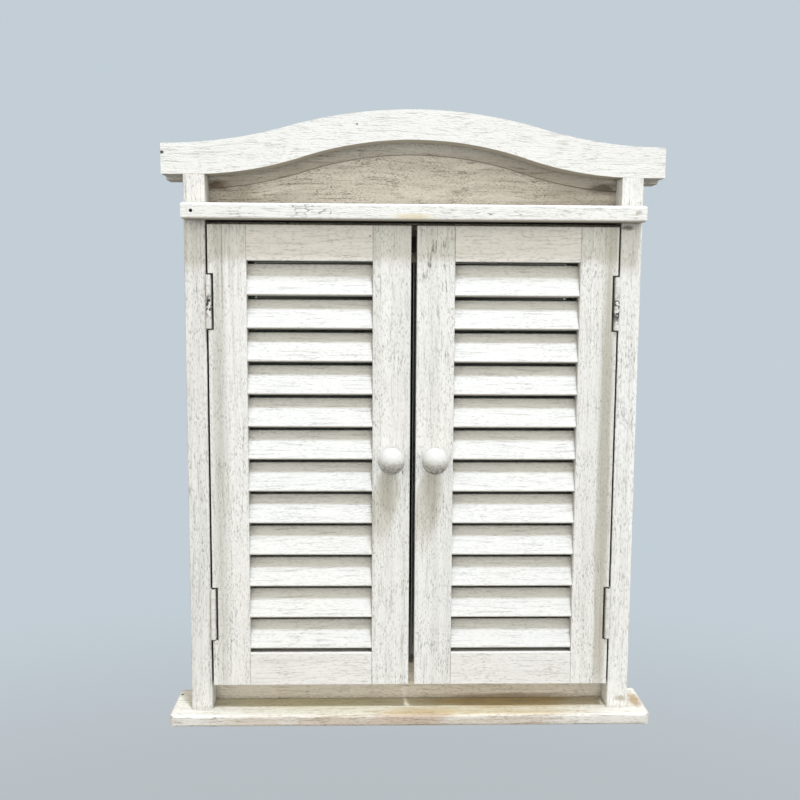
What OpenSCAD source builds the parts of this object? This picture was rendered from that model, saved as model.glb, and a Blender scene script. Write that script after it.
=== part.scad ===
// Wall mirror behind a pair of louvred shutter doors, under an arched crown.
// The origin lies on the wall plane, midway between the two hanging holes.
// +Z is up and the front faces -Y. All sizes are in millimetres.

/* [Frame] */
// Outer width across the two posts
frame_w = 430; // [380:1:520]
// Width of a post, seen from the front
post_w = 20; // [18:1:28]
// Depth of a post, from the wall to its front face
post_d = 48; // [46:1:60]
// Height of the bottom rail between the posts
sill_h = 37; // [28:1:60]
// Thickness of the bottom rail and of the head board
rail_t = 12; // [10:0.5:14]
// Space behind the rails for the glass, its back panel and the pins
rear_d = 10; // [9:0.5:12]
// Radius of the eased edges of the posts and the doors
edge_r = 1; // [0.4:0.1:1.6]

/* [Shelf] */
// How far the shelf reaches past each post
shelf_side = 20; // [8:1:40]
// How far the shelf reaches in front of the posts
shelf_lip = 15; // [8:1:30]
// Thickness of the shelf
shelf_t = 12; // [10:0.5:20]
// Radius of the shelf's rounded front and end edges
shelf_edge_r = 3; // [1:0.5:4.5]
// Radius of the shelf's front corners, seen from above
shelf_corner_r = 7; // [3:0.5:12]

/* [Ledge] */
// Height of the ledge
ledge_h = 15; // [10:0.5:22]
// How far the ledge stands out from the posts
ledge_d = 18; // [8:0.5:25]
// How far each end of the ledge stops short of the outer face of its post
ledge_in = 0.5; // [0:0.5:3]
// Radius of the ledge's rounded edges
ledge_edge_r = 2.5; // [0.5:0.5:4]

/* [Crown] */
// How far the crown reaches past each post
crown_side = 20; // [8:1:40]
// Height of the crown at its ends
crown_end_h = 28; // [22:1:45]
// Rise of the crown's top edge, from its ends to the middle
crown_rise = 32.5; // [15:0.5:60]
// Rise of the arch under the crown
arch_rise = 33; // [15:1:55]
// How far the sweep of the arch runs past the inner faces of the posts
arch_over = 14; // [2:1:16]
// How far the crown's back board stands in front of the head board
crown_lap = 2; // [0:0.5:6]
// How much lower the crown's back board hangs between the posts
back_drop = 10.5; // [3:0.5:12]
// How much lower it hangs outside the posts
back_end_drop = 3; // [1:0.5:6]
// Clear height between the ledge and the crown, beside a post
niche_h = 27; // [15:1:50]

/* [Doors] */
// Height of a door
door_h = 446; // [400:1:470]
// Thickness of a door
door_t = 15; // [14:0.5:18]
// Gap between the shelf and the doors
door_foot = 25.5; // [8:0.5:35]
// Gap between the doors and the ledge
door_head = 3.5; // [2:0.5:8]
// Gap between a door and its post
side_gap = 2; // [1.5:0.1:3]
// Gap between the two doors
middle_gap = 5.5; // [3:0.5:8]
// How far the doors stand in front of the posts
door_proud = 3; // [1:0.5:3.5]
// Width of a stile
stile_w = 36; // [32:1:50]
// Height of a door's top rail
top_rail_h = 33.5; // [26:0.5:50]
// Height of a door's bottom rail
bottom_rail_h = 33; // [26:0.5:50]
// Length of the tenons on the door rails
tenon_l = 10; // [6:0.5:16]

/* [Louvre] */
// Thickness of a slat
slat_t = 5; // [4:0.5:6]
// Lean of the slats from upright, in degrees
slat_tilt = 18; // [10:1:20]
// Upright gap between neighbouring slats
slat_gap = 2.6; // [1.5:0.1:5]
// Upright gap that the row of equal slats leaves under the top rail
slat_head_gap = 4.6; // [4:0.1:8]
// How far the uppermost slat reaches up into that gap
top_slat_more = 2.2; // [0.4:0.2:2.4]
// Depth of the housings that hold the ends of the slats
housing_d = 4; // [2:0.5:8]

/* [Knobs] */
// Radius of the knob's ball
ball_r = 12.6; // [10:0.1:16]
// Distance from the door's face to the middle of the ball
ball_out = 16; // [15:0.5:26]
// Height of the knobs above the lower edge of the doors
knob_up = 225.5; // [150:0.5:300]
// Radius of the knob's neck
neck_r = 6; // [4.5:0.5:8]
// Radius of the knob's foot, on the door
foot_r = 7.5; // [6:0.5:10]
// Thickness of the knob's foot, and of the slope above it
foot_t = 2; // [1:0.5:3]
// Radius of the knob screw
knob_screw_r = 2; // [1.5:0.1:2.5]
// Length of the knob screw under its head
knob_screw_l = 28; // [22:1:32]

/* [Hinges] */
// Length of a hinge
hinge_l = 50; // [40:1:65]
// Height of a hinge's middle above or below the nearer end of the door
hinge_in = 72; // [50:1:110]
// Outer radius of a hinge knuckle
knuckle_r = 2.3; // [2:0.1:2.6]
// Radius of a hinge pin
pin_r = 1.15; // [0.9:0.05:1.3]
// Thickness of a hinge leaf
leaf_t = 1; // [0.8:0.1:1.2]
// Width of a hinge leaf, from the pin's axis
leaf_w = 12.5; // [11:0.5:13]
// How far the pin's axis stands in front of the posts
pin_out = 3; // [2:0.1:3.5]

/* [Mirror] */
// Thickness of the mirror glass
glass_t = 3; // [2:0.5:4]
// How far the glass laps behind the rails and the posts
glass_lap = 8; // [5:0.5:10]
// Thickness of the back panel
panel_t = 3; // [2:0.5:4]

/* [Catch] */
// Width of the catch body between its lugs
catch_w = 36; // [30:1:44]
// Height of the catch
catch_h = 14; // [10:0.5:18]
// Width of a lug at each end of the catch
lug_w = 9; // [8:0.5:12]
// Thickness of the lugs
lug_t = 3; // [2:0.5:4]
// Width and height of a strike plate
strike_w = 13; // [9:0.5:14]
// Thickness of a strike plate
strike_t = 1.5; // [1.4:0.1:2]

/* [Hanging and fastening] */
// Depth of the hanging holes below the underside of the crown
hang_drop = 49; // [46:1:50]
// Radius of a hanging hole, where the screw head enters
hang_r = 4; // [3.5:0.1:4.5]
// Radius of the slot above a hanging hole
hang_slot_r = 2.1; // [1.8:0.1:2.5]
// Length of the slot, from the middle of the hole to its end
hang_slot_l = 12; // [9:0.5:14]
// Width of a hanger plate
hanger_w = 14; // [12:0.5:16]
// Thickness of a hanger plate
hanger_t = 1.5; // [1.4:0.1:2]
// Depth of the pocket for the screw head, behind a hanger plate
hang_pocket_d = 10; // [6:0.5:12]
// Radius of the small wood screws
screw_r = 1.5; // [1.2:0.1:1.7]
// Length of the small wood screws
screw_l = 11; // [9:0.5:12]
// Radius of the frame nails and glazing pins
nail_r = 0.8; // [0.6:0.1:1]

/* [Hidden] */
$fn = 64;
curve_steps = 96; // straight steps along each curved edge of the crown
slat_count = 12; // slats in each door
cut = 1; // how far a cutting shape reaches past the wood

// Clearances
joint_gap = 0.15; // around tenons, slat ends and other wood joints
curved_gap = 0.2; // between the crown's back board and the head board
run_gap = 0.05; // around a hinge pin
swing_gap = 0.3; // between parts that turn past each other
notch_gap = 0.7; // above and below a hinge, in its stile
hole_gap = 0.05; // around nails and screws
glass_gap = 1; // beside and above the glass
pocket_gap = 0.5; // around a screw head, behind a hanger plate
knob_gap = 0.25; // around the knob screw, in the door

// Widths
inner_w = frame_w - 2 * post_w;
crown_w = frame_w + 2 * crown_side;
arch_half = inner_w / 2 + arch_over;
shelf_w = frame_w + 2 * shelf_side;
door_out = inner_w / 2 - side_gap; // outer edge of the right door
door_in = middle_gap / 2; // inner edge of the right door
outer_stile_x = door_out - stile_w;
inner_stile_x = door_in + stile_w;

// Heights above the underside of the shelf
frame_h = shelf_t + door_foot + door_h + door_head + ledge_h + niche_h;
hang_h = frame_h - hang_drop;
// Heights above the hanging holes
shelf_z0 = -hang_h;
shelf_z1 = shelf_z0 + shelf_t;
door_z0 = shelf_z1 + door_foot;
door_z1 = door_z0 + door_h;
ledge_z0 = door_z1 + door_head;
ledge_z1 = ledge_z0 + ledge_h;
crown_z0 = ledge_z1 + niche_h;
crown_z1 = crown_z0 + crown_end_h; // top of the crown at its ends
back_z0 = crown_z0 - back_drop; // lower edge of the crown's back board beside a post
opening_z0 = door_z0 + bottom_rail_h;
opening_z1 = door_z1 - top_rail_h;
sill_z1 = shelf_z1 + sill_h;
head_z0 = opening_z1; // the head board's lower edge hides behind the top rails

// Depths from the wall plane to the front
post_y = -post_d;
panel_y1 = panel_t + glass_t - rear_d;
glass_y1 = glass_t - rear_d;
rail_y1 = -rear_d;
rail_y0 = rail_y1 - rail_t;
rail_mid_y = (rail_y0 + rail_y1) / 2;
crown_y = rail_y0 - crown_lap; // between the crown's two boards
ledge_y0 = post_y - ledge_d;
shelf_y0 = post_y - shelf_lip;
door_y0 = post_y - door_proud;
door_y1 = door_y0 + door_t;
door_mid_y = (door_y0 + door_y1) / 2;

// Louvre
slat_pitch = (opening_z1 - opening_z0 - slat_head_gap) / slat_count;
slat_w = (slat_pitch - slat_gap - slat_t * sin(slat_tilt)) / cos(slat_tilt);
slat_edge_r = 1.25;

// Tenons of the door rails
tenon_t = 6;
tenon_shoulder = 5;

// Hinges
pin_x = inner_w / 2 - swing_gap - knuckle_r;
pin_y = post_y - pin_out;
turn_r = knuckle_r + swing_gap;
leaf_x = pin_x - knuckle_r; // where the door leaf lies in its stile
pin_head_r = (pin_r + knuckle_r) / 2;
pin_head_t = 0.8;
knuckles = 5; // the frame leaf has the first, third and last
knuckle_l = (hinge_l - (knuckles - 1) * swing_gap) / knuckles;
hinge_mids = [door_z0 + hinge_in, door_z1 - hinge_in];
notch_h = hinge_l + 2 * (pin_head_t + notch_gap);
relief_d = 2.4; // room beside and behind a knuckle, in its stile
hinge_screw_up = 15; // from the middle of a hinge
hinge_screw_in = 4.5; // from the edge of a leaf
hinge_screw_y = pin_y + leaf_w - hinge_screw_in;

// Knobs
knob_x = door_in + stile_w / 2;
knob_z = door_z0 + knob_up;
knob_bore_l = knob_screw_l - door_t + 1;
knob_head_r = knob_screw_r * 2;
knob_head_t = 2.4;

// Catch, with its face a hair behind the closed strike plates
catch_z = (head_z0 + door_z1) / 2;
catch_y0 = door_y1 + strike_t + swing_gap;
lug_x = catch_w / 2 + lug_w / 2;
strike_x = door_in + strike_w / 2 + 2;

// Hangers
hanger_x = (inner_w + post_w) / 2;
hanger_over = 12; // plate past the middle of the hole, and past the end of the slot
hanger_z0 = -hanger_over;
hanger_z1 = hang_slot_l + hanger_over;
hang_screw_in = 3.5; // from the end of a plate

// Screws and nails
head_r = screw_r * 1.85;
head_t = head_r - screw_r;
tip_r = 0.3;
tip_l = 2.5;
nail_head_r = nail_r * 1.9;
nail_head_t = 0.6;
nail_in = 25; // how deep a frame nail goes into its second piece
nail_end_in = 10; // and how deep it goes into the edge of a rail
glazing_l = 12; // length of a glazing pin
glazing_rows = 4; // glazing pins on each side
crown_nail_ys = [(post_y + crown_y) / 2, crown_y / 2];
// The crown's top over the far side of a nail head, so that the whole head sinks in
nail_top = crown_z1 + ogee(hanger_x + nail_head_r, crown_w / 2, crown_rise);

white = "#e9e6de";
shade = "#d9d3c6";
steel = "#a9a9a5";

door_parts = concat(
    ["outer_stile", "inner_stile", "top_rail", "bottom_rail"],
    [for (i = [1 : slat_count]) slat_name(i)],
    ["knob", "knob_screw", "strike_plate", "hinge_leaves", "door_screws"]
);

function slat_name(i) = str("slat_", i < 10 ? "0" : "", i);

// Height of an ogee edge above its ends: an arc over the middle half, and an equal one at each end
function ogee(x, half_w, rise) =
    let (r = (half_w * half_w + rise * rise) / (4 * rise), a = abs(x))
    a < half_w / 2 ? rise - r + sqrt(r * r - a * a) : r - sqrt(r * r - pow(half_w - a, 2));

function ogee_line(x0, x1, half_w, rise, z) =
    [for (i = [0 : curve_steps]) let (x = x0 + (x1 - x0) * i / curve_steps) [x, z + ogee(x, half_w, rise)]];

// The sweep under the crown, from its ends at height z
function arch_line(x0, x1, z) = ogee_line(x0, x1, arch_half, arch_rise, z);

function crown_line() = ogee_line(crown_w / 2, -crown_w / 2, crown_w / 2, crown_rise, crown_z1);

// Lower end of a knuckle of the hinge at height z, counted from the bottom
function knuckle_z(z, i) = z - hinge_l / 2 + i * (knuckle_l + swing_gap);

// Middle of a slat, counted from the top
function slat_z(i) = opening_z0 + slat_gap + (slat_count - i) * slat_pitch + (slat_pitch - slat_gap) / 2;

function glazing_z(i) = sill_z1 + (head_z0 - sill_z1) * (i - 0.5) / glazing_rows;

// Pieces are drawn for the right side, and this turns them over for the left
module on_side(side) {
    mirror([side == "left" ? 1 : 0, 0, 0]) children();
}

module both_sides() {
    children();
    mirror([1, 0, 0]) children();
}

// An outline seen from the front, between two depths
module upright(y0, y1) {
    translate([0, y1, 0]) rotate([90, 0, 0]) linear_extrude(y1 - y0) children();
}

// An outline seen from the side, between two places along X
module across(x0, x1) {
    translate([x0, 0, 0]) rotate([90, 0, 90]) linear_extrude(x1 - x0) children();
}

module box(x, y, z) {
    translate([x[0], y[0], z[0]]) cube([x[1] - x[0], y[1] - y[0], z[1] - z[0]]);
}

// A rectangle with round corners, between two places along each axis
module rounded(x, y, r) {
    translate([x[0] + r, y[0]]) square([x[1] - x[0] - 2 * r, y[1] - y[0]]);
    translate([x[0], y[0] + r]) square([x[1] - x[0], y[1] - y[0] - 2 * r]);
    for (cx = [x[0] + r, x[1] - r], cy = [y[0] + r, y[1] - r]) translate([cx, cy]) circle(r);
}

// A board with eased edges all round
module board(x, y, z, r) {
    intersection() {
        translate([0, 0, z[0] - cut]) linear_extrude(z[1] - z[0] + 2 * cut) rounded(x, y, r);
        upright(y[0] - cut, y[1] + cut) rounded(x, z, r);
        across(x[0] - cut, x[1] + cut) rounded(y, z, r);
    }
}

// A cross for a screwdriver, cut down from z = 0
module cross_slot(l, w, d) {
    for (turn = [0, 90]) rotate(turn) translate([-l / 2, -w / 2, -d]) cube([l, w, d + cut]);
}

// A countersunk wood screw that points down from its head. With a gap, it is the hole for one.
module screw(gap = 0) {
    difference() {
        union() {
            translate([0, 0, -head_t]) cylinder(r1 = screw_r + gap, r2 = head_r + gap, h = head_t);
            translate([0, 0, tip_l - screw_l]) cylinder(r = screw_r + gap, h = screw_l - tip_l);
            translate([0, 0, -screw_l]) cylinder(r1 = tip_r + gap, r2 = screw_r + gap, h = tip_l + hole_gap);
            if (gap > 0) cylinder(r = head_r + gap, h = cut);
        }
        if (gap == 0) cross_slot(head_r * 1.2, 0.7, 0.6);
    }
}

// A nail that points down from its head. With a gap, it is the hole for one.
module nail(l, gap = 0) {
    translate([0, 0, -nail_head_t]) cylinder(r = nail_head_r + gap, h = nail_head_t + (gap > 0 ? cut : 0));
    translate([0, 0, -l]) cylinder(r = nail_r + gap, h = l - nail_head_t / 2);
}

// Nails of the frame: up through the shelf, down through the crown, in through the ledge and the posts
module frame_nail_set(gap = 0) {
    both_sides() {
        for (y = crown_nail_ys) {
            translate([hanger_x, y, shelf_z0]) rotate([180, 0, 0]) nail(shelf_t + nail_in, gap);
            translate([hanger_x, y, nail_top]) nail(nail_top - crown_z0 + nail_in, gap);
        }
        translate([hanger_x, ledge_y0, (ledge_z0 + ledge_z1) / 2])
            rotate([90, 0, 0]) nail(ledge_d + nail_in, gap);
        for (z = [(shelf_z1 + sill_z1) / 2, catch_z, (ledge_z1 + crown_z0) / 2])
            translate([frame_w / 2, rail_mid_y, z]) rotate([0, 90, 0]) nail(post_w + nail_end_in, gap);
    }
}

// Pins driven into the posts, close behind the back panel
module glazing_pin_set(gap = 0) {
    both_sides()
        for (i = [1 : glazing_rows])
            translate([inner_w / 2 + glass_lap - glazing_l / 2, panel_y1 + nail_r + hole_gap, glazing_z(i)])
                rotate([0, 90, 0]) cylinder(r = nail_r + gap, h = glazing_l);
}

// Small screws that go into the frame: hinge leaves, catch lugs and hanger plates
module frame_screw_set(gap = 0) {
    both_sides() {
        for (z = hinge_mids, up = [-hinge_screw_up, hinge_screw_up])
            translate([inner_w / 2 - leaf_t, hinge_screw_y, z + up]) rotate([0, -90, 0]) screw(gap);
        translate([lug_x, rail_y0 - lug_t, catch_z]) rotate([90, 0, 0]) screw(gap);
        for (z = [hanger_z0 + hang_screw_in, hanger_z1 - hang_screw_in])
            translate([hanger_x, 0, z]) rotate([-90, 0, 0]) screw(gap);
    }
}

// Small screws that go into the right door: hinge leaves and strike plate
module door_screw_set(gap = 0) {
    for (z = hinge_mids, up = [-hinge_screw_up, hinge_screw_up])
        translate([leaf_x + leaf_t, hinge_screw_y, z + up]) rotate([0, 90, 0]) screw(gap);
    translate([strike_x, door_y1 + strike_t, catch_z]) rotate([-90, 0, 0]) screw(gap);
}

// The shelf has rounded edges at the front and at both ends
module shelf() {
    x = [-shelf_w / 2, shelf_w / 2];
    z = [shelf_z0, shelf_z1];
    color(white) difference() {
        intersection() {
            across(x[0], x[1]) rounded([shelf_y0, shelf_edge_r], z, shelf_edge_r);
            upright(shelf_y0 - cut, 0) rounded(x, z, shelf_edge_r);
            translate([0, 0, z[0] - cut]) linear_extrude(shelf_t + 2 * cut)
                rounded(x, [shelf_y0, shelf_corner_r], shelf_corner_r);
        }
        frame_nail_set(hole_gap);
    }
}

// A post has a rebate for the glass, and a pocket with a recessed seat for its hanger plate
module post(side) {
    color(white) on_side(side) difference() {
        translate([0, 0, shelf_z1]) linear_extrude(crown_z0 - shelf_z1)
            rounded([inner_w / 2, frame_w / 2], [post_y, 0], edge_r);
        box([inner_w / 2 - cut, inner_w / 2 + glass_lap], [-rear_d, cut],
            [sill_z1 - glass_lap, head_z0 + glass_lap]);
        box([hanger_x - hanger_w / 2 - joint_gap, hanger_x + hanger_w / 2 + joint_gap], [-hanger_t, cut],
            [hanger_z0 - joint_gap, hanger_z1 + joint_gap]);
        box([hanger_x - hang_r - pocket_gap, hanger_x + hang_r + pocket_gap],
            [-hanger_t - hang_pocket_d, 0], [-hang_r - pocket_gap, hang_slot_l + hang_r]);
        frame_nail_set(hole_gap);
        frame_screw_set(hole_gap);
        glazing_pin_set(hole_gap);
    }
}

// A square moulding across both posts, which runs back between them as the floor of the niche
module ledge() {
    x = [ledge_in - frame_w / 2, frame_w / 2 - ledge_in];
    z = [ledge_z0, ledge_z1];
    color(white) difference() {
        union() {
            intersection() {
                across(x[0], x[1]) rounded([ledge_y0, post_y + ledge_edge_r], z, ledge_edge_r);
                upright(ledge_y0 - cut, post_y) rounded(x, z, ledge_edge_r);
            }
            box([-inner_w / 2, inner_w / 2], [post_y, rail_y0], z);
        }
        frame_nail_set(hole_gap);
    }
}

module crown_front_board() {
    color(white) difference() {
        upright(post_y, crown_y) polygon(concat(
            [[-crown_w / 2, crown_z0]], arch_line(-arch_half, arch_half, crown_z0),
            [[crown_w / 2, crown_z0]], crown_line()));
        frame_nail_set(hole_gap);
    }
}

// The back board hangs lower than the front board on both sides of each post, where its edge shows
module crown_back_board() {
    half = inner_w / 2 - joint_gap;
    past = frame_w / 2 + joint_gap;
    end_z0 = crown_z0 - back_end_drop;
    color(shade) difference() {
        upright(crown_y, 0) polygon(concat(
            [[-crown_w / 2, end_z0], [-past, end_z0], [-past, crown_z0], [-half, crown_z0]],
            arch_line(-half, half, back_z0),
            [[half, crown_z0], [past, crown_z0], [past, end_z0], [crown_w / 2, end_z0]], crown_line()));
        frame_nail_set(hole_gap);
    }
}

// The head board fills the arch and closes the top behind the doors
module head_board() {
    half = inner_w / 2;
    color(shade) difference() {
        upright(rail_y0, rail_y1) polygon(concat(
            [[half, head_z0], [-half, head_z0]], arch_line(-half, half, back_z0 - curved_gap)));
        frame_nail_set(hole_gap);
        frame_screw_set(hole_gap);
    }
}

module bottom_rail() {
    color(white) difference() {
        box([-inner_w / 2, inner_w / 2], [rail_y0, rail_y1], [shelf_z1, sill_z1]);
        frame_nail_set(hole_gap);
    }
}

// A sheet that fills the rebate, between two depths
module sheet(y0, y1) {
    half = inner_w / 2 + glass_lap - glass_gap;
    box([-half, half], [y0, y1], [sill_z1 - glass_lap, head_z0 + glass_lap - glass_gap]);
}

module mirror_glass() {
    color("#aebfc4") sheet(rail_y1, glass_y1);
}

module back_panel() {
    color("#8a6444") sheet(glass_y1, panel_y1);
}

module glazing_pins() {
    color(steel) glazing_pin_set();
}

module frame_nails() {
    color(steel) frame_nail_set();
}

module frame_screws() {
    color(steel) frame_screw_set();
}

// A keyhole plate: the screw head enters at the hole, and its shank slides up the slot
module hanger_plate(side) {
    y = [-hanger_t, 0];
    color(steel) on_side(side) difference() {
        box([hanger_x - hanger_w / 2, hanger_x + hanger_w / 2], y, [hanger_z0, hanger_z1]);
        upright(y[0] - cut, y[1] + cut) {
            translate([hanger_x, 0]) circle(hang_r);
            translate([hanger_x, hang_slot_l]) circle(hang_slot_r);
            translate([hanger_x - hang_slot_r, 0]) square([2 * hang_slot_r, hang_slot_l]);
        }
        frame_screw_set(hole_gap);
    }
}

// A double magnetic catch, one magnet behind each door, with a screw lug at each end
module magnetic_catch() {
    z = [catch_z - catch_h / 2, catch_z + catch_h / 2];
    color("#5a4636") difference() {
        union() {
            box([-catch_w / 2, catch_w / 2], [catch_y0, rail_y0], z);
            box([-catch_w / 2 - lug_w, catch_w / 2 + lug_w], [rail_y0 - lug_t, rail_y0], z);
        }
        frame_screw_set(hole_gap);
    }
}

// One leaf of the right hand hinge at height z: its plate, and every second knuckle from the given one
module leaf(z, plate_x, first) {
    difference() {
        union() {
            box([plate_x, plate_x + leaf_t], [pin_y, pin_y + leaf_w], [z - hinge_l / 2, z + hinge_l / 2]);
            for (i = [first : 2 : knuckles - 1])
                translate([pin_x, pin_y, knuckle_z(z, i)]) cylinder(r = knuckle_r, h = knuckle_l);
        }
        for (i = [1 - first : 2 : knuckles - 1])
            box([leaf_x - cut, inner_w / 2 + cut], [pin_y - turn_r, pin_y + turn_r],
                [knuckle_z(z, i) - swing_gap, knuckle_z(z, i + 1)]);
        translate([pin_x, pin_y, z - hinge_l]) cylinder(r = pin_r + run_gap, h = 2 * hinge_l);
    }
}

module frame_hinge_leaves() {
    color(white) difference() {
        both_sides() for (z = hinge_mids) leaf(z, inner_w / 2 - leaf_t, 0);
        frame_screw_set(hole_gap);
    }
}

module hinge_leaves(side) {
    color(white) on_side(side) difference() {
        for (z = hinge_mids) leaf(z, leaf_x, 1);
        door_screw_set(hole_gap);
    }
}

module hinge_pins() {
    color(steel) both_sides() for (z = hinge_mids) translate([pin_x, pin_y, z]) {
        cylinder(r = pin_r, h = hinge_l + pin_head_t, center = true);
        for (end = [0, 1])
            mirror([0, 0, end]) translate([0, 0, hinge_l / 2]) cylinder(r = pin_head_r, h = pin_head_t);
    }
}

// A slat of the right door, between two places along X: its lower edge comes forward
module slat_bar(i, x0, x1, gap = 0) {
    upper = slat_w / 2 + (i == 1 ? top_slat_more : 0);
    across(x0, x1) translate([door_mid_y, slat_z(i)]) rotate(-slat_tilt)
        rounded([-slat_t / 2 - gap, slat_t / 2 + gap], [-slat_w / 2 - gap, upper + gap], slat_edge_r);
}

module slat(side, i) {
    color(white) on_side(side)
        slat_bar(i, inner_stile_x - housing_d + joint_gap, outer_stile_x + housing_d - joint_gap);
}

// The tenons at both ends of a door rail that lies between two heights
module tenons(z0, z1, gap = 0) {
    box([inner_stile_x - tenon_l - gap, outer_stile_x + tenon_l + gap],
        [door_mid_y - tenon_t / 2 - gap, door_mid_y + tenon_t / 2 + gap],
        [z0 + tenon_shoulder - gap, z1 - tenon_shoulder + gap]);
}

module door_rail(z0, z1) {
    across(inner_stile_x, outer_stile_x) rounded([door_y0, door_y1], [z0, z1], edge_r);
    tenons(z0, z1);
}

// A stile with the housings for the slats and the mortises for both rails
module stile(x0) {
    difference() {
        board([x0, x0 + stile_w], [door_y0, door_y1], [door_z0, door_z1], edge_r);
        tenons(door_z0, opening_z0, joint_gap);
        tenons(opening_z1, door_z1, joint_gap);
        for (i = [1 : slat_count])
            slat_bar(i, inner_stile_x - housing_d, outer_stile_x + housing_d, joint_gap);
    }
}

// The outer stile is notched for its hinges, deeper at the front to clear the knuckles
module outer_stile(side) {
    color(white) on_side(side) difference() {
        stile(outer_stile_x);
        for (z = hinge_mids) {
            box([leaf_x, door_out + cut], [door_y0 - cut, door_y1 + cut], [z - notch_h / 2, z + notch_h / 2]);
            box([leaf_x - relief_d, door_out], [door_y0 - cut, pin_y + knuckle_r + relief_d],
                [z - notch_h / 2, z + notch_h / 2]);
        }
        door_screw_set(hole_gap);
    }
}

module inner_stile(side) {
    color(white) on_side(side) difference() {
        stile(door_in);
        translate([knob_x, door_y1 + cut, knob_z]) rotate([90, 0, 0])
            cylinder(r = knob_screw_r + knob_gap, h = door_t + 2 * cut);
        door_screw_set(hole_gap);
    }
}

module top_door_rail(side) {
    color(white) on_side(side) door_rail(opening_z1, door_z1);
}

module bottom_door_rail(side) {
    color(white) on_side(side) door_rail(door_z0, opening_z0);
}

// A turned knob: a foot on the door, a neck and a ball, bored from behind for its screw
module knob(side) {
    color(white) on_side(side) translate([knob_x, door_y0, knob_z]) rotate([90, 0, 0]) difference() {
        union() {
            cylinder(r = foot_r, h = foot_t);
            translate([0, 0, foot_t]) cylinder(r1 = foot_r, r2 = neck_r, h = foot_t);
            cylinder(r = neck_r, h = ball_out);
            translate([0, 0, ball_out]) sphere(ball_r);
        }
        translate([0, 0, -cut]) cylinder(r = knob_screw_r + hole_gap, h = knob_bore_l + cut);
    }
}

module knob_screw(side) {
    color(steel) on_side(side) translate([knob_x, door_y1, knob_z]) rotate([-90, 0, 0]) difference() {
        union() {
            translate([0, 0, -knob_screw_l]) cylinder(r = knob_screw_r, h = knob_screw_l);
            cylinder(r = knob_head_r, h = knob_head_t);
        }
        translate([0, 0, knob_head_t]) cross_slot(knob_head_r * 1.2, 1, 1);
    }
}

module strike_plate(side) {
    color(steel) on_side(side) difference() {
        box([strike_x - strike_w / 2, strike_x + strike_w / 2], [door_y1, door_y1 + strike_t],
            [catch_z - strike_w / 2, catch_z + strike_w / 2]);
        door_screw_set(hole_gap);
    }
}

module door_screws(side) {
    color(steel) on_side(side) door_screw_set();
}

shelf();
post("left");  // left_post
post("right");  // right_post
ledge();
crown_front_board();
crown_back_board();
head_board();
bottom_rail();
mirror_glass();
back_panel();
glazing_pins();
frame_nails();
hanger_plate("left");  // left_hanger_plate
hanger_plate("right");  // right_hanger_plate
magnetic_catch();
frame_hinge_leaves();
hinge_pins();
frame_screws();
for (side = ["left", "right"]) {
    outer_stile(side);
    inner_stile(side);
    top_door_rail(side);
    bottom_door_rail(side);
    for (i = [1 : slat_count])
        slat(side, i);
    knob(side);
    knob_screw(side);
    strike_plate(side);
    hinge_leaves(side);
    door_screws(side);
}
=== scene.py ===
"""The looks of a whitewashed wall mirror that hangs behind a pair of louvred shutter doors."""

import math

import bpy
from mathutils import Matrix, Vector

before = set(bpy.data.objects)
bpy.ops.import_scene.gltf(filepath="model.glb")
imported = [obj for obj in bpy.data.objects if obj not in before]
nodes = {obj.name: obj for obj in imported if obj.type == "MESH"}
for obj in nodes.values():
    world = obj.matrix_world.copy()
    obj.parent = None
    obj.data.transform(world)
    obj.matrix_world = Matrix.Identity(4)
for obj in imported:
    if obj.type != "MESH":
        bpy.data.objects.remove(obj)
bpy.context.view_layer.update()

MM = 0.001
SIDES = ("left", "right")
SLATS = [f"slat_{number:02d}" for number in range(1, 13)]


# ---------- Nodes ----------

def linear(hex_colour):
    """An sRGB hex colour as the linear colour that a shader wants."""
    parts = [int(hex_colour[i:i + 2], 16) / 255 for i in (1, 3, 5)]
    curved = [c / 12.92 if c <= 0.04045 else ((c + 0.055) / 1.055) ** 2.4 for c in parts]
    return curved + [1.0]


def add(tree, kind, sockets=None, out=0, **settings):
    """Adds a shader node with its settings, fills or links its sockets, and gives back one output."""
    made = tree.nodes.new("ShaderNode" + kind)
    for name, value in settings.items():
        setattr(made, name, value)
    for name, value in (sockets or {}).items():
        if isinstance(value, bpy.types.NodeSocket):
            tree.links.new(value, made.inputs[name])
        else:
            made.inputs[name].default_value = value
    return made.outputs[out]


def begin(name, roughness, metallic=0.0):
    """A new material with an even roughness and metallic: its tree, shader and place on the piece."""
    material = bpy.data.materials.new(name)
    material.use_nodes = True
    tree = material.node_tree
    shader = tree.nodes["Principled BSDF"]
    shader.inputs["Roughness"].default_value = roughness
    shader.inputs["Metallic"].default_value = metallic
    return material, tree, shader, add(tree, "TexCoord", out="Object")


def feed(tree, shader, sockets):
    """Links each value to the shader's socket of that name."""
    for name, value in sockets.items():
        tree.links.new(value, shader.inputs[name])


def streaks(tree, where, size, low, high, detail=2.0):
    """Marks of that size in mm along X, Y and Z: 0 where the noise is under low, 1 where it is over high."""
    placed = add(tree, "Mapping", {"Vector": where, "Scale": Vector(size) * MM}, vector_type="TEXTURE")
    cloud = add(tree, "TexNoise", {"Vector": placed, "Scale": 1.0, "Detail": detail})
    return add(tree, "MapRange", {"Value": cloud, "From Min": low, "From Max": high})


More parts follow.
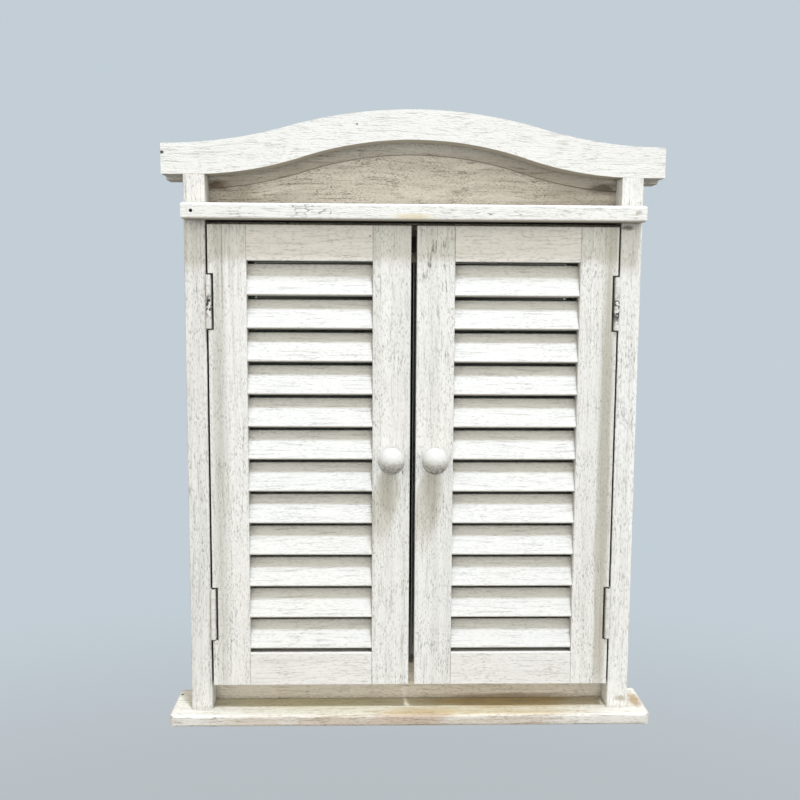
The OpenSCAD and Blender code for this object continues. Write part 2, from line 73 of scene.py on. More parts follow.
def patch(tree, where, centre, half, ragged):
    """1 in an egg-shaped patch of those half sizes in mm, fading over a ragged edge to 0 outside it."""
    placed = add(tree, "Mapping", {"Vector": where, "Location": Vector(centre) * MM,
                                   "Scale": Vector(half) * MM}, vector_type="TEXTURE")
    outward = add(tree, "VectorMath", {0: placed}, out="Value", operation="LENGTH")
    fray = add(tree, "TexNoise", {"Vector": placed, "Scale": 2.6, "Detail": 3.0})
    frayed = add(tree, "Math", {0: fray, 1: ragged, 2: outward}, operation="MULTIPLY_ADD")
    edge = 1.0 + ragged / 2
    fade = 0.6
    return add(tree, "MapRange", {"Value": frayed, "From Min": edge, "From Max": edge - fade})


def spotted(tree, where, colour, spots):
    """The colour with spots on it: each has a centre, half sizes in mm, a colour, strength and raggedness."""
    for centre, half, stain, strength, ragged in spots:
        spot = patch(tree, where, centre, half, ragged)
        spot = add(tree, "Math", {0: spot, 1: strength}, operation="MULTIPLY")
        colour = add(tree, "Mix", {0: spot, 6: colour, 7: linear(stain)}, out=2, data_type="RGBA")
    return colour


# ---------- Whitewashed boards ----------

BARE_ARRIS = "#B39A78"
RAW_WOOD = "#C9AE86"
RAW_GRAIN = "#8F7350"
# Painted shade for the faces that look straight up.
TOP_SHADE = "#C4C1B8"
CRACK = "#4C473E"
# Painted shade with soil and dirt: the grey of corners and the near black of narrow joints.
CORNER_SHADE_AND_SOIL = "#858178"
JOINT_SHADE_AND_DIRT = "#1F1B17"
DARK_NAIL = "#5A544A"
# Painted shade, near black, for the hinge pockets.
HINGE_POCKET_SHADE = "#191713"

# Widths and lengths in mm of the marks that lie along the grain.
STROKE = (1.7, 34.0)
COLUMN = (7.0, 420.0)
CRACK_STRETCH = (5.0, 12.0)
BLOT = (1.6, 3.0)
PORE_LENGTHS_PER_WIDTH = 3.6

# Sizes in mm, along X, Y and Z, of the clouds that thin the coat and warm it, and of the stretches
# in which the arrises are rubbed, and the radius of an arris.
THIN_COAT = (26.0, 26.0, 26.0)
TONE_CLOUD = (90.0, 70.0, 110.0)
RUBBED_STRETCH = (14.0, 14.0, 14.0)
ARRIS_RADIUS = 1.5


def grain_size(along, width, length):
    """Width and length in mm of a mark whose length runs along the axis of that name."""
    return tuple(length if axis == along else width for axis in "xyz")


def wandering(tree, where, wander):
    """The place on the piece, strayed by about that many mm, over lengths of about 150 mm."""
    bend = add(tree, "TexNoise", {"Vector": where, "Scale": 7.0, "Detail": 1.0}, out="Color")
    # The noise stays within about a quarter of its middle value, so it is made 4 times as large.
    return add(tree, "VectorMath", {0: bend, 1: [wander * 4 * MM] * 3, 2: where}, operation="MULTIPLY_ADD")


def rubbed_arrises(tree, where, facing, colour):
    """The colour with its arrises worn through in stretches, down towards the wood."""
    # An arris is where a small rounding would turn the surface away from its own normal.
    rounded = add(tree, "Bevel", {"Radius": ARRIS_RADIUS * MM}, samples=4)
    turned = add(tree, "VectorMath", {0: rounded, 1: facing}, out="Value", operation="DOT_PRODUCT")
    arris = add(tree, "MapRange", {"Value": turned, "From Min": 0.985, "From Max": 0.86})
    rubbed = streaks(tree, where, RUBBED_STRETCH, 0.48, 0.66, detail=4.0)
    worn = add(tree, "Math", {0: arris, 1: rubbed}, operation="MULTIPLY")
    worn = add(tree, "Math", {0: worn, 1: 0.35}, operation="MULTIPLY")
    return add(tree, "Mix", {0: worn, 6: colour, 7: linear(BARE_ARRIS)}, out=2, data_type="RGBA")


def unpainted_back(tree, where, colour, marked, raw_back):
    """The colour with raw wood on the side towards the wall, which is at that depth in mm."""
    depth = add(tree, "SeparateXYZ", {0: where}, out="Y")
    behind = add(tree, "MapRange", {"Value": depth, "From Min": (raw_back - 0.9) * MM,
                                    "From Max": (raw_back - 0.3) * MM})
    timber = add(tree, "Mix", {0: marked, 6: linear(RAW_WOOD), 7: linear(RAW_GRAIN)},
                 out=2, data_type="RGBA")
    return add(tree, "Mix", {0: behind, 6: colour, 7: timber}, out=2, data_type="RGBA")


def crazed(tree, where, bent, along, colour, cracked):
    """The colour with fine cracks in the paint, along the edges of its flakes. Each cracked place has a
    centre, half sizes and the size of its flakes, all in mm."""
    for centre, half, flake in cracked:
        flaked = add(tree, "Mapping", {"Vector": bent, "Scale": Vector(flake) * MM}, vector_type="TEXTURE")
        seam = add(tree, "TexVoronoi", {"Vector": flaked, "Scale": 1.0}, feature="DISTANCE_TO_EDGE")
        crack = add(tree, "MapRange", {"Value": seam, "From Min": 0.1, "From Max": 0.02, "To Max": 0.75})
        broken = streaks(tree, bent, grain_size(along, *CRACK_STRETCH), 0.46, 0.6)
        crack = add(tree, "Math", {0: crack, 1: broken}, operation="MULTIPLY")
        within = patch(tree, where, centre, half, 1.3)
        crack = add(tree, "Math", {0: crack, 1: within}, operation="MULTIPLY")
        colour = add(tree, "Mix", {0: crack, 6: colour, 7: linear(CRACK)}, out=2, data_type="RGBA")
    return colour


def joint_shade_and_dirt(tree, bent, along, colour, reach):
    """The colour darkened where neighbours within reach mm shut out the light: painted shade and soil
    in blots in the corners, and painted shade with dirt that turns narrow joints nearly black."""
    openness = add(tree, "AmbientOcclusion", {"Distance": reach * MM}, out="AO", samples=6)
    # Corners that are half shut in get painted shade, broken into blots of soil.
    corner_shade = add(tree, "MapRange", {"Value": openness, "From Min": 0.8, "From Max": 0.3, "To Max": 0.8})
    blots = streaks(tree, bent, grain_size(along, *BLOT), 0.42, 0.62, detail=4.0)
    blots = add(tree, "Math", {0: blots, 1: 0.6, 2: 0.4}, operation="MULTIPLY_ADD")
    mottle = add(tree, "Math", {0: corner_shade, 1: blots}, operation="MULTIPLY")
    colour = add(tree, "Mix", {0: mottle, 6: colour, 7: linear(CORNER_SHADE_AND_SOIL)}, out=2, data_type="RGBA")
    # Joints that are shut in almost all round get painted shade, nearly black, with dirt.
    joint_shade_and_grime = add(tree, "MapRange", {"Value": openness, "From Min": 0.32, "From Max": 0.06, "To Max": 0.9})
    return add(tree, "Mix", {0: joint_shade_and_grime, 6: colour, 7: linear(JOINT_SHADE_AND_DIRT)}, out=2, data_type="RGBA")


def whitewash(name, along, coat, grain, flecks, strokes, columns, wander=2.0, pore=1.2, cast="#EEEAE1",
              under=None, raw_back=None, reach=8.0, shaded_tops=False, stains=(), blemishes=(), cracked=()):
    """Thinned white paint wiped over open-grained paulownia boards. The coat is flat and chalky,
    short grey-brown pores and longer strokes run through it along the grain, faint columns show
    where it lies thin, the sharp edges are rubbed back towards the wood, and painted shade with
    soil darkens the corners and joints.

    flecks, strokes and columns say how much the pores, strokes and columns show, from 0 to 1. In mm,
    wander is how far the grain strays, pore is a pore's width, raw_back is the depth of the side
    that was never painted, and reach is how far from a neighbour painted shade and soil lie. Stains
    lie under the grain and blemishes over it. under is the colour towards which faces that look
    down are darkened, as painted shade with the thin coat there."""
    material, tree, shader, where = begin(name, 0.7)
    bent = wandering(tree, where, wander)
    # Pores are 0.3 mm wide and are drawn about 1 mm wide, as coarse as they need to be to show.
    pores = streaks(tree, bent, grain_size(along, pore, PORE_LENGTHS_PER_WIDTH * pore), 0.5, 0.7, detail=3.0)
    lines = streaks(tree, bent, grain_size(along, *STROKE), 0.54, 0.7)
    bands = streaks(tree, bent, grain_size(along, *COLUMN), 0.42, 0.7)
    # A quarter of the pores' strength shows everywhere, and the rest only where the coat is thin.
    thin = streaks(tree, where, THIN_COAT, 0.3, 0.66)
    held = add(tree, "Math", {0: thin, 1: 0.75 * flecks, 2: 0.25 * flecks}, operation="MULTIPLY_ADD")
    fine = add(tree, "Math", {0: pores, 1: held}, operation="MULTIPLY")
    drawn = add(tree, "Math", {0: lines, 1: strokes, 2: fine}, operation="MULTIPLY_ADD")
    marked = add(tree, "Math", {0: bands, 1: columns, 2: drawn}, operation="MULTIPLY_ADD", use_clamp=True)
    # Broad clouds lean up to 30 percent towards the warmer cast.
    tone = streaks(tree, where, TONE_CLOUD, 0.4, 0.75)
    warmed = add(tree, "Math", {0: tone, 1: 0.3}, operation="MULTIPLY")
    ground = add(tree, "Mix", {0: warmed, 6: linear(coat), 7: linear(cast)}, out=2, data_type="RGBA")
    ground = spotted(tree, where, ground, stains)
    colour = add(tree, "Mix", {0: marked, 6: ground, 7: linear(grain)}, out=2, data_type="RGBA")
    facing = add(tree, "NewGeometry", out="Normal")
    colour = rubbed_arrises(tree, where, facing, colour)
    if under:
        # Faces that look down are darkened towards that colour: painted shade, with the thin coat over the
        # wood there.
        down = add(tree, "SeparateXYZ", {0: facing}, out="Z")
        underside_shade = add(tree, "MapRange", {"Value": down, "From Min": -0.4, "From Max": -0.8})
        colour = add(tree, "Mix", {0: underside_shade, 6: colour, 7: linear(under)}, out=2, data_type="RGBA")
    if shaded_tops:
        # The faces that look straight up are greyed: painted shade that holds back the lamp's strong light on
        # them.
        up = add(tree, "SeparateXYZ", {0: facing}, out="Z")
        top_shade_mask = add(tree, "MapRange", {"Value": up, "From Min": 0.85, "From Max": 0.97, "To Max": 0.9})
        colour = add(tree, "Mix", {0: top_shade_mask, 6: colour, 7: linear(TOP_SHADE)}, out=2, data_type="RGBA")
    colour = spotted(tree, where, colour, blemishes)
    if raw_back is not None:
        colour = unpainted_back(tree, where, colour, marked, raw_back)
    colour = crazed(tree, where, bent, along, colour, cracked)
    colour = joint_shade_and_dirt(tree, bent, along, colour, reach)
    rough = add(tree, "MapRange", {"Value": marked, "To Min": 0.62, "To Max": 0.84})
    sunk = add(tree, "Math", {0: lines, 1: -0.6}, operation="MULTIPLY")
    height = add(tree, "Math", {0: pores, 1: -1.0, 2: sunk}, operation="MULTIPLY_ADD")
    relief = add(tree, "Bump", {"Strength": 0.5, "Distance": 0.3 * MM, "Height": height})
    feed(tree, shader, {"Base Color": colour, "Roughness": rough, "Normal": relief})
    return material


def dress(material, *names):
    """Puts the material on every slot of the CAD nodes of those names."""
    for name in names:
        mesh = nodes[name].data
        if not mesh.materials:
            mesh.materials.append(material)
        for index in range(len(mesh.materials)):
            mesh.materials[index] = material


crown_wash = whitewash(
    "whitewashed_paulownia_crown", "x", "#F0F1ED", "#A5A49C", flecks=0.36, strokes=0.36, columns=0.06,
    wander=7.0, cast="#EFEDE8", under="#B2AA9A", raw_back=0.0, shaded_tops=True, blemishes=[
        ((-53.7, -48.0, 95.6), (1.3, 3.0, 1.3), DARK_NAIL, 0.8, 0.1),
        ((-234.0, -48.0, 68.6), (3.0, 4.0, 1.8), "#1C1916", 1.0, 0.3)])
dress(crown_wash, "crown_front_board")

# Old damp has browned both upper corners of the niche, on the crown's lip and on the panel behind it.
corner_stains = [
    ((-187.0, -23.0, 41.0), (15.0, 6.0, 7.0), "#4E2E1C", 0.95, 0.9),
    ((-170.0, -23.0, 38.0), (30.0, 6.0, 20.0), "#9A907D", 0.5, 0.9),
    ((183.0, -23.0, 41.0), (20.0, 6.0, 7.0), "#4F4A33", 0.9, 0.9),
    ((160.0, -23.0, 38.0), (40.0, 6.0, 22.0), "#A39C8C", 0.3, 0.9)]
# The lip of the crown's back board inside the niche is darker than its outer ends, which show beside
# the posts: painted shade in the niche, with a thinner coat there.
niche_lip_shade = ((0.0, -24.0, 40.0), (236.0, 15.0, 46.0), "#B0A693", 1.0, 0.1)
crown_back_wash = whitewash(
    "whitewashed_paulownia_crown_back", "x", "#EDEDE9", "#857D6C", flecks=0.6, strokes=0.5, columns=0.15,
    wander=5.0, under="#A39A88", raw_back=0.0, shaded_tops=True, stains=[niche_lip_shade] + corner_stains)
dress(crown_back_wash, "crown_back_board")

# The strip of the ledge's underside over the doors is painted near black: painted shade in the gap above the
# doors.
ledge_wash = whitewash(
    "whitewashed_paulownia_ledge", "x", "#F3F4F0", "#93918C", flecks=0.4, strokes=0.35, columns=0.06,
    wander=4.0, under="#ADA698", shaded_tops=True, cracked=[
        ((-96.0, -66.0, 16.0), (34.0, 8.0, 8.0), (12.0, 9.0, 2.4)),
        ((60.0, -66.0, 13.0), (50.0, 8.0, 5.0), (22.0, 9.0, 3.0))], blemishes=[
        ((0.0, -36.0, 7.0), (700.0, 24.0, 4.0), "#2A251F", 1.0, 0.1),
        ((-2.0, -66.0, 10.5), (24.0, 8.0, 3.4), "#DCC99A", 0.6, 0.8),
        ((207.0, -66.0, 16.0), (4.0, 4.0, 2.6), "#A8A292", 0.6, 0.8)])
dress(ledge_wash, "ledge")

# The left post is a little darker than the right one, and its columns show more.
for side, coat, thin in (("left", "#EFEFEB", 0.3), ("right", "#F7F8F5", 0.18)):
    post_wash = whitewash(
        f"whitewashed_paulownia_{side}_post", "z", coat, "#969590", flecks=0.7, strokes=0.3, columns=thin,
        raw_back=0.0, stains=[
            ((201.4, -48.0, 2.7), (8.0, 3.0, 3.0), "#5C554A", 0.8, 0.9),
            ((208.2, -48.0, -458.6), (8.0, 3.0, 4.0), "#A39679", 0.6, 0.9)])
    dress(post_wash, f"{side}_post")

# The outer stiles carry a darker column of heartwood, the inner ones carry painted shadow below the
# knobs that deepens the knobs' own shadows, and the hinge pockets carry near-black painted shade.
heartwood = [((-184.0, -51.0, -219.0), (9.0, 7.0, 330.0), "#B3B2A2", 0.42, 0.7),
             ((185.0, -51.0, -219.0), (9.0, 7.0, 330.0), "#AEAB98", 0.75, 0.7),
             ((184.0, -51.0, -402.0), (7.0, 7.0, 46.0), "#A9997E", 0.32, 0.9),
             ((-179.6, -51.0, -40.0), (0.9, 4.0, 55.0), "#8F8D84", 0.6, 0.5)]
# Painted shadow below each knob.
knob_shadow_paint = [((-24.5, -51.0, -250.0), (10.0, 5.0, 30.0), "#A3A08A", 0.42, 0.5),
             ((17.5, -51.0, -250.0), (10.0, 5.0, 30.0), "#A3A08A", 0.3, 0.5)]
# Painted shade, near black, in each hinge pocket.
pocket_shade = [((x, -44.5, z), (5.5, 5.8, 46.0), HINGE_POCKET_SHADE, 1.0, 0.05)
           for x in (-190.0, 190.0) for z in (-68.5, -370.5)]
stile_wash = whitewash(
    "whitewashed_paulownia_stiles", "z", "#F4F4F0", "#94938C", flecks=0.72, strokes=0.26, columns=0.16,
    pore=1.0, stains=heartwood + knob_shadow_paint, blemishes=pocket_shade, cracked=[
        ((22.0, -51.0, -32.0), (22.0, 8.0, 50.0), (5.0, 9.0, 90.0))])
dress(stile_wash, *[f"{side}_{stile}" for side in SIDES for stile in ("outer_stile", "inner_stile")])

# The top rails, which lie in the ledge's shadow, get a lighter coat than the bottom rails: painted light that
# lifts that shadow.
for rail, coat in (("top_rail", "#FAF8F3"), ("bottom_rail", "#F1F0EC")):
    rail_wash = whitewash(
        f"whitewashed_paulownia_door_{rail}s", "x", coat, "#A29E93", flecks=0.5, strokes=0.3, columns=0.08,
        wander=4.0, blemishes=[((-41.4, -51.0, -6.7), (1.3, 3.0, 1.3), DARK_NAIL, 0.7, 0.1)])
    dress(rail_wash, *[f"{side}_{rail}" for side in SIDES])

# On the slats painted shade and soil reach further, and darken the upper part of each slat below the one
# above.
slat_wash = whitewash(
    "whitewashed_paulownia_slats", "x", "#E8E9E5", "#9C9B95", flecks=0.4, strokes=0.32, columns=0.05,
    wander=2.5, under="#B5B1A4", reach=19.0)
dress(slat_wash, *[f"{side}_{slat}" for side in SIDES for slat in SLATS])

panel_wash = whitewash(
    "thin_whitewash_on_paulownia_panel", "x", "#EEE8DE", "#7A7262", flecks=1.0, strokes=0.4, columns=0.3,
    wander=6.0, pore=0.7, cast="#DAD2C4", raw_back=-10.0, reach=12.0, stains=corner_stains)
dress(panel_wash, "head_board")

lower_rail_wash = whitewash(
    "thin_whitewash_on_paulownia_rail", "x", "#F6F1E8", "#9B9180", flecks=0.6, strokes=0.4, columns=0.1,
    wander=4.0, cast="#ECE2D6", raw_back=-10.0, stains=[
        ((98.0, -22.0, -468.0), (84.0, 6.0, 6.0), "#8B6C3A", 0.6, 1.0)])
dress(lower_rail_wash, "bottom_rail")

# The shelf has caught drips: its top has yellowed, and the middle and the right of it are brownest.
shelf_wash = whitewash(
    "whitewashed_paulownia_shelf", "x", "#E9E8E3", "#94836A", flecks=0.6, strokes=0.5, columns=0.12,
    wander=4.0, raw_back=0.0, stains=[
        ((0.0, -31.0, -468.0), (310.0, 62.0, 2.0), "#DDD8BD", 0.85, 0.1),
        ((100.0, -28.0, -468.0), (120.0, 26.0, 3.0), "#BDA266", 0.8, 0.8),
        ((-95.0, -28.0, -468.0), (120.0, 22.0, 3.0), "#DCD4AE", 0.6, 0.8),
        ((14.0, -57.0, -468.0), (60.0, 14.0, 3.0), "#C4AC7C", 0.75, 1.2),
        ((110.0, -57.0, -468.0), (80.0, 8.0, 2.0), "#CBB88C", 0.65, 1.2),
        ((0.0, -63.0, -474.0), (60.0, 4.0, 10.0), "#BFA58B", 0.7, 1.2),
        ((-76.0, -63.0, -475.0), (50.0, 4.0, 9.0), "#C6B39C", 0.65, 1.2),
        ((-150.0, -63.0, -475.0), (46.0, 4.0, 8.0), "#CFC2AE", 0.55, 1.2),
        ((96.0, -63.0, -475.0), (70.0, 4.0, 8.0), "#CBBBA5", 0.55, 1.2),
        ((227.0, -30.0, -468.0), (8.0, 20.0, 3.0), "#A9844F", 0.75, 1.1)], blemishes=[
        ((-231.4, -11.7, -468.0), (2.2, 2.2, 2.0), "#17130F", 1.0, 0.1)])
dress(shelf_wash, "shelf")


# ---------- Hardware, glass and back ----------

# Heights in mm between which the knobs' coat turns from clean to blotched and darker, which is painted shade
# under the ball.
KNOB_CLEAN_ABOVE = -214.0
KNOB_BLOTCHED_BELOW = -228.0
# A centre and half sizes in mm for the scraped place on each upper hinge.
HINGE_SCRAPES = [((-192.0, -53.0, -72.0), (9.0, 9.0, 13.0)),
                 ((192.5, -53.0, -74.0), (9.0, 9.0, 17.0))]
# Half sizes in mm of a place where paint covers metal, and how far a metal's roughness strays.
OVERPAINTED = (9.0, 9.0, 9.0)
POLISH_SPREAD = 0.12


def painted_knob():
    """Beech turned to a ball and brushed white: the coat is smooth on top and blotched below, and darker
    towards the bottom as painted shade under the ball.
    """
    material, tree, shader, where = begin("painted_turned_beech", 0.55)
    blots = streaks(tree, where, (2.6, 2.6, 2.2), 0.44, 0.6, detail=3.0)
    height = add(tree, "SeparateXYZ", {0: where}, out="Z")
    low = add(tree, "MapRange", {"Value": height, "From Min": KNOB_CLEAN_ABOVE * MM,
                                 "From Max": KNOB_BLOTCHED_BELOW * MM, "To Min": 0.1, "To Max": 1.0})
    stained = add(tree, "Math", {0: blots, 1: 0.55, 2: 0.45}, operation="MULTIPLY_ADD")
    # Towards the bottom of the ball the blotches darken: painted shade.
    dark = add(tree, "Math", {0: stained, 1: low}, operation="MULTIPLY")
    colour = add(tree, "Mix", {0: dark, 6: linear("#DFDFDA"), 7: linear("#6A6553")}, out=2, data_type="RGBA")
    rough = add(tree, "MapRange", {"Value": blots, "To Min": 0.48, "To Max": 0.7})
    relief = add(tree, "Bump", {"Strength": 0.3, "Distance": 0.3 * MM, "Height": blots})
    feed(tree, shader, {"Base Color": colour, "Roughness": rough, "Normal": relief})
    return material


def painted_hinge():
    """Pressed steel painted over with the frame: the coat is brushed, and chipped back to dark metal."""
    material, tree, shader, where = begin("whitewashed_pressed_steel", 0.55)
    flakes = streaks(tree, where, (3.2, 3.2, 2.8), 0.47, 0.52, detail=3.0)
    # The two upper hinges are scraped over part of their length, and the rest is whole but for specks.
    scraped, second = [patch(tree, where, centre, half, 0.3) for centre, half in HINGE_SCRAPES]
    scraped = add(tree, "Math", {0: scraped, 1: second}, operation="MAXIMUM")
    scraped = add(tree, "Math", {0: scraped, 1: 0.9, 2: 0.1}, operation="MULTIPLY_ADD")
    chips = add(tree, "Math", {0: flakes, 1: scraped}, operation="MULTIPLY")
    brush = streaks(tree, where, (1.0, 1.0, 9.0), 0.5, 0.75)
    coat = add(tree, "Mix", {0: brush, 6: linear("#ECECE7"), 7: linear("#CFCDC4")}, out=2, data_type="RGBA")
    bare = add(tree, "Math", {0: chips, 1: 0.95}, operation="MULTIPLY")
    colour = add(tree, "Mix", {0: bare, 6: coat, 7: linear("#2A2621")}, out=2, data_type="RGBA")
    rough = add(tree, "MapRange", {"Value": chips, "To Min": 0.5, "To Max": 0.38})
    sunk = add(tree, "Math", {0: chips, 1: -1.0}, operation="MULTIPLY")
    relief = add(tree, "Bump", {"Strength": 0.5, "Distance": 0.15 * MM, "Height": sunk})
    feed(tree, shader, {"Base Color": colour, "Roughness": rough, "Normal": relief})
    return material


def metal(name, light, dark, roughness, size, painted=None):
    """A bare metal whose colour and polish shift over marks of that size in mm. Where painted gives a
    place in mm, paint covers the metal there."""
    material, tree, shader, where = begin(name, roughness, metallic=1.0)
    worn = streaks(tree, where, size, 0.35, 0.7, detail=4.0)
    colour = add(tree, "Mix", {0: worn, 6: linear(light), 7: linear(dark)}, out=2, data_type="RGBA")
    if painted:
        cover = patch(tree, where, painted, OVERPAINTED, 0.0)
        colour = add(tree, "Mix", {0: cover, 6: colour, 7: linear("#C9C6BC")}, out=2, data_type="RGBA")
        bare = add(tree, "Math", {0: 1.0, 1: cover}, operation="SUBTRACT")
        feed(tree, shader, {"Metallic": bare})
    rough = add(tree, "MapRange", {"Value": worn, "To Min": roughness - POLISH_SPREAD,
                                   "To Max": roughness + POLISH_SPREAD})
    relief = add(tree, "Bump", {"Strength": 0.2, "Distance": 0.05 * MM, "Height": worn})
    feed(tree, shader, {"Base Color": colour, "Roughness": rough, "Normal": relief})
    return material


def mirror_silver():
    """Silvered float glass: a clean reflection, a little cool and dark from the glass over the silver."""
    material, tree, shader, where = begin("silvered_float_glass", 0.02, metallic=1.0)
    cloud = streaks(tree, where, (120.0, 120.0, 120.0), 0.4, 0.7)
    colour = add(tree, "Mix", {0: cloud, 6: linear("#DCE3E2"), 7: linear("#D3DBDB")}, out=2, data_type="RGBA")
    dust = streaks(tree, where, (30.0, 30.0, 40.0), 0.45, 0.8, detail=5.0)
    rough = add(tree, "MapRange", {"Value": dust, "To Min": 0.015, "To Max": 0.05})
    feed(tree, shader, {"Base Color": colour, "Roughness": rough})
    return material


def hardboard():
    """Pressed wood fibre: an even brown with short darker fibres lying every way."""
    material, tree, shader, where = begin("pressed_hardboard", 0.8)
    fibres = streaks(tree, where, (1.2, 1.2, 5.0), 0.5, 0.7, detail=4.0)
    crossed = streaks(tree, where, (5.0, 1.2, 1.2), 0.5, 0.7, detail=4.0)
    both = add(tree, "Math", {0: fibres, 1: crossed}, operation="MAXIMUM")
    colour = add(tree, "Mix", {0: both, 6: linear("#8A6A48"), 7: linear("#6A4C31")}, out=2, data_type="RGBA")
    relief = add(tree, "Bump", {"Strength": 0.4, "Distance": 0.2 * MM, "Height": both})
    feed(tree, shader, {"Base Color": colour, "Normal": relief})
    return material


def catch_plastic():
    """Moulded ABS: dark brown with a fine eggshell texture from the tool."""
    material, tree, shader, where = begin("moulded_abs_catch", 0.45)
    shell = streaks(tree, where, (0.8, 0.8, 0.8), 0.4, 0.6)
    mottle = streaks(tree, where, (9.0, 9.0, 9.0), 0.5, 0.8)
    colour = add(tree, "Mix", {0: mottle, 6: linear("#382E26"), 7: linear("#4B3F35")}, out=2, data_type="RGBA")
    relief = add(tree, "Bump", {"Strength": 0.3, "Distance": 0.05 * MM, "Height": shell})
    feed(tree, shader, {"Base Color": colour, "Normal": relief})
    return material


# The nail at the ledge's right end was painted over with the ledge.
nail_iron = metal("oxidised_iron_nails", "#5B554B", "#35302A", 0.6, (1.5, 1.5, 1.5),
                  painted=(205.0, -66.0, 14.5))
screw_steel = metal("turned_bright_steel", "#BEBDB9", "#8E8C87", 0.34, (2.0, 2.0, 2.0))
plate_zinc = metal("zinc_plated_steel", "#C8CBD0", "#A3A7AC", 0.4, (6.0, 6.0, 6.0))

dress(painted_knob(), "left_knob", "right_knob")
dress(painted_hinge(), "frame_hinge_leaves", "left_hinge_leaves", "right_hinge_leaves")
dress(nail_iron, "frame_nails")
dress(screw_steel, "hinge_pins", "frame_screws", "glazing_pins")
dress(screw_steel, *[f"{side}_{part}" for side in SIDES for part in ("knob_screw", "door_screws")])
dress(plate_zinc, "left_hanger_plate", "right_hanger_plate", "left_strike_plate", "right_strike_plate")
dress(catch_plastic(), "magnetic_catch")
dress(mirror_silver(), "mirror_glass")
dress(hardboard(), "back_panel")


# ---------- Camera, light and floor ----------

CAMERA_PLACE = (-0.0383, -0.996, -0.0526)
# Radians: turned to the right, tipped down and rolled.
CAMERA_PAN = -0.0273
CAMERA_DIP = 0.1138
CAMERA_ROLL = 0.0061
LENS_MM = 45.0
SENSOR_MM = 36.0

# One far lamp high in front and a little to the right, and a glow from all round, brightest in front.
LAMP_WAY = Vector((0.35, -1.0, 2.7)).normalized()
LAMP_DISTANCE = 4.0
LAMP_SIZE = 0.4
LAMP_POWER = 149.0
LAMP_COLOUR = "#E6EEFF"
MIDDLE = Vector((0.0, -0.05, -0.19))
GLOW_COLOUR = "#FFFAEF"
GLOW_BEHIND = 0.7
GLOW_IN_FRONT = 1.22

BACKDROP = "#C3CED6"
FLOOR_PAINT = "#A3A5A6"
FLOOR_Z = -1.45
FLOOR_RADIUS = 9.0
# The floor fades to the backdrop's colour between these distances from the mirror, from half to all.
FADE_START = 1.4
FADE_END = 3.6

# What a mirror reflects of the room in front. Someone who looks at it stands almost straight ahead,
# where X over -Y is about VIEWER_ASIDE, and the room clears over VIEWER_WIDTH on either side.
ROOM = "#6E6C66"
VIEWER = "#0E0D0C"
VIEWER_ASIDE = 0.04
VIEWER_CORE = 0.01
VIEWER_WIDTH = 0.36
# The Y, of a direction in the world and of a place on the floor, between which the room turns dim.
DIM_WAYS = (-0.2, -0.8)
DIM_FLOOR = (-0.3, -1.2)


def ways_seen(tree):
    """1 for a glossy ray, and 1 for any ray that sees the background: camera, glossy or transmission."""
    camera_ray = add(tree, "LightPath", out="Is Camera Ray")
    glossy_ray = add(tree, "LightPath", out="Is Glossy Ray")
    through_ray = add(tree, "LightPath", out="Is Transmission Ray")
    either = add(tree, "Math", {0: camera_ray, 1: glossy_ray}, operation="MAXIMUM")
    return glossy_ray, add(tree, "Math", {0: either, 1: through_ray}, operation="MAXIMUM")


def quiet_front(tree, place, dim_span, glossy_ray):
    """The background's colour. For a glossy ray the room in front, past that span of Y, is dim, and
    darkest where the viewer stands."""
    x = add(tree, "SeparateXYZ", {0: place}, out="X")
    y = add(tree, "SeparateXYZ", {0: place}, out="Y")
    aside = add(tree, "Math", {0: x, 1: y}, operation="DIVIDE")
    aside = add(tree, "Math", {0: aside, 1: VIEWER_ASIDE}, operation="ADD")
    aside = add(tree, "Math", {0: aside}, operation="ABSOLUTE")
    clear = add(tree, "MapRange", {"Value": aside, "From Min": VIEWER_CORE, "From Max": VIEWER_WIDTH})
    room = add(tree, "Mix", {0: clear, 6: linear(VIEWER), 7: linear(ROOM)}, out=2, data_type="RGBA")
    near, far = dim_span
    dim = add(tree, "MapRange", {"Value": y, "From Min": near, "From Max": far})
    dim = add(tree, "Math", {0: dim, 1: glossy_ray}, operation="MULTIPLY")
    return add(tree, "Mix", {0: dim, 6: linear(BACKDROP), 7: room}, out=2, data_type="RGBA")


camera = bpy.data.objects.new("camera", bpy.data.cameras.new("camera"))
bpy.context.scene.collection.objects.link(camera)
camera.data.lens = LENS_MM
camera.data.sensor_width = SENSOR_MM
camera.matrix_world = (Matrix.Translation(CAMERA_PLACE)
                       @ Matrix.Rotation(CAMERA_PAN, 4, "Z")
                       @ Matrix.Rotation(math.pi / 2 - CAMERA_DIP, 4, "X")
                       @ Matrix.Rotation(CAMERA_ROLL, 4, "Z"))
bpy.context.scene.camera = camera

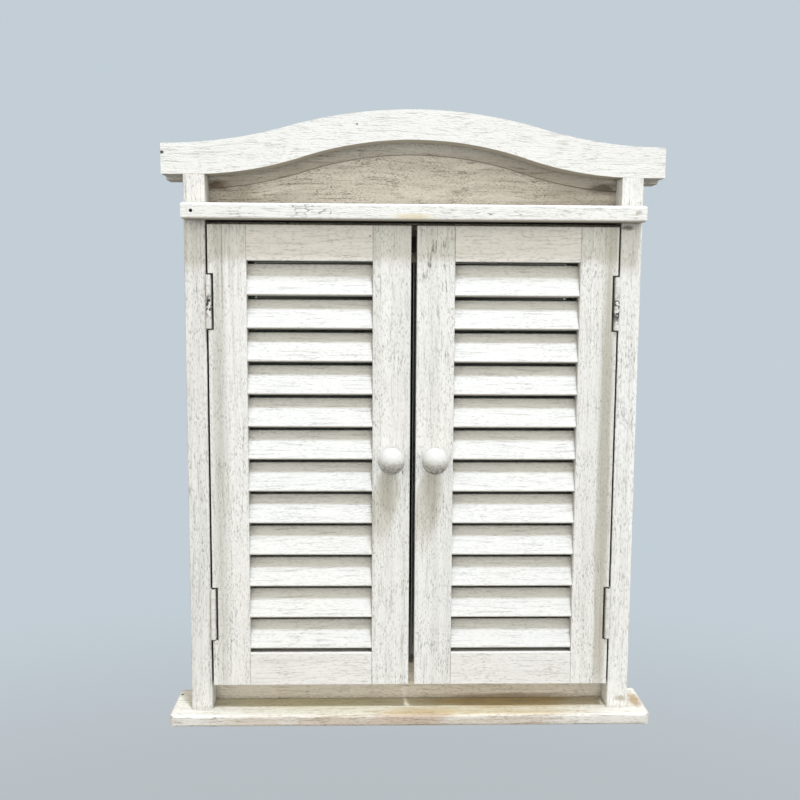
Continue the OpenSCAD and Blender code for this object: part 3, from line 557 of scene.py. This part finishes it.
lamp = bpy.data.objects.new("lamp", bpy.data.lights.new("lamp", "AREA"))
bpy.context.scene.collection.objects.link(lamp)
lamp.data.shape = "SQUARE"
lamp.data.size = LAMP_SIZE
lamp.data.energy = LAMP_POWER
lamp.data.color = linear(LAMP_COLOUR)[:3]
lamp.location = MIDDLE + LAMP_WAY * LAMP_DISTANCE
lamp.rotation_euler = LAMP_WAY.to_track_quat("Z", "Y").to_euler()

world = bpy.data.worlds.new("studio")
bpy.context.scene.world = world
world.use_nodes = True
tree = world.node_tree
glossy, seen = ways_seen(tree)
way = add(tree, "TexCoord", out="Generated")
forward = add(tree, "SeparateXYZ", {0: way}, out="Y")
bright = add(tree, "MapRange", {"Value": forward, "From Min": 0.0, "From Max": -1.0,
                                "To Min": GLOW_BEHIND, "To Max": GLOW_IN_FRONT})
glow = add(tree, "Background", {"Color": linear(GLOW_COLOUR), "Strength": bright})
room = quiet_front(tree, way, DIM_WAYS, glossy)
shown = add(tree, "Background", {"Color": room, "Strength": 1.0})
both = add(tree, "MixShader", {0: seen, 1: glow, 2: shown})
tree.links.new(both, tree.nodes["World Output"].inputs["Surface"])

bpy.ops.object.select_all(action="DESELECT")
bpy.ops.mesh.primitive_circle_add(vertices=96, radius=FLOOR_RADIUS, fill_type="NGON",
                                  location=(0.0, 0.0, FLOOR_Z))
floor = bpy.context.object
floor.name = "floor"
material, tree, shader, where = begin("pale_painted_floor", 0.85)
shader.inputs["Base Color"].default_value = linear(FLOOR_PAINT)
glossy, seen = ways_seen(tree)
distance = add(tree, "VectorMath", {0: where}, out="Value", operation="LENGTH")
far = add(tree, "MapRange", {"Value": distance, "From Min": FADE_START, "From Max": FADE_END,
                             "To Min": 0.5}, interpolation_type="SMOOTHSTEP")
faded = add(tree, "Math", {0: far, 1: seen}, operation="MULTIPLY")
room = quiet_front(tree, where, DIM_FLOOR, glossy)
haze = add(tree, "Emission", {"Color": room, "Strength": 1.0})
both = add(tree, "MixShader", {0: faded, 1: shader.outputs[0], 2: haze})
tree.links.new(both, tree.nodes["Material Output"].inputs["Surface"])
floor.data.materials.append(material)

bpy.context.scene.view_settings.view_transform = "Standard"
